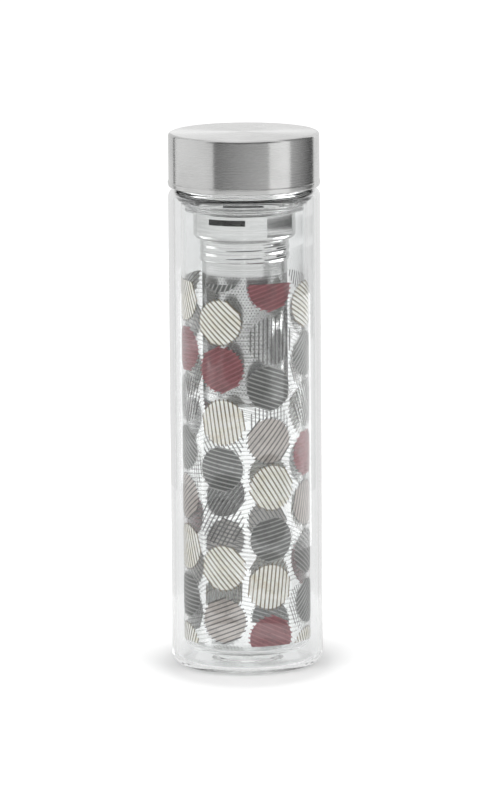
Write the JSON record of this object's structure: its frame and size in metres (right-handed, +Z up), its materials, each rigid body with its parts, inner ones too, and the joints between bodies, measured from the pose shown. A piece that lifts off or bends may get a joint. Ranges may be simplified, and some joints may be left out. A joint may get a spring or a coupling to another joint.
{
  "type": "tea infuser bottle",
  "caption": "Double-wall glass tea bottle with a steel screw lid and a lift-out steel infuser: slotted collar, lipped seal and screw-on perforated basket.",
  "frame": {"origin": "middle of the foot, on the surface that the bottle stands on", "axes": "+Z up along the bottle's axis, -Y towards the front, +X to the right as seen from the front"},
  "size_m": [0.0664, 0.0664, 0.234],
  "materials": {
    "glass": "clear, polished",
    "lid_steel": "brushed around, hem polished",
    "infuser_steel": "polished",
    "liner_plastic": "satin moulded",
    "silicone": "translucent satin",
    "print_enamel": "fired print of striped dots"
  },
  "bodies": {
    "bottle": {"outer_glass": "glass", "inner_glass": "glass"},
    "infuser": {"infuser_collar": "infuser_steel", "infuser_seal": "silicone"},
    "basket_thread": {"infuser_strainer": "infuser_steel"},
    "basket": {"infuser_basket": "infuser_steel"},
    "lid_lift": {"lid_gasket": "silicone"},
    "lid_thread": {"lid_inner_plate": "infuser_steel"},
    "lid": {"lid_shell": "lid_steel", "lid_liner": "liner_plastic"}
  },
  "joints": [
    {"name": "infuser_lift", "type": "slide", "parent": "bottle", "child": "infuser", "axis": [0, 0, 1], "range_m": [0, 0.16]},
    {"name": "basket_drop", "type": "slide", "parent": "infuser", "child": "basket_thread", "axis": [0, 0, -1], "range_m": [0, 0.0069]},
    {"name": "basket_turn", "type": "hinge", "parent": "basket_thread", "child": "basket", "pos_m": [0, 0, 0.182], "axis": [0, 0, -1], "range_deg": [0, 720]},
    {"name": "lid_off", "type": "slide", "parent": "infuser", "child": "lid_lift", "axis": [0, 0, 1], "range_m": [0, 0.09]},
    {"name": "lid_rise", "type": "slide", "parent": "lid_lift", "child": "lid_thread", "axis": [0, 0, 1], "range_m": [0, 0.0054]},
    {"name": "lid_turn", "type": "hinge", "parent": "lid_thread", "child": "lid", "pos_m": [0, 0, 0.222], "axis": [0, 0, 1], "range_deg": [0, 480]}
  ],
  "couplings": [
    {"joint": "basket_drop", "follows": "basket_turn", "m_per_rad": 0.00054113},
    {"joint": "lid_rise", "follows": "lid_turn", "m_per_rad": 0.00063662}
  ]
}
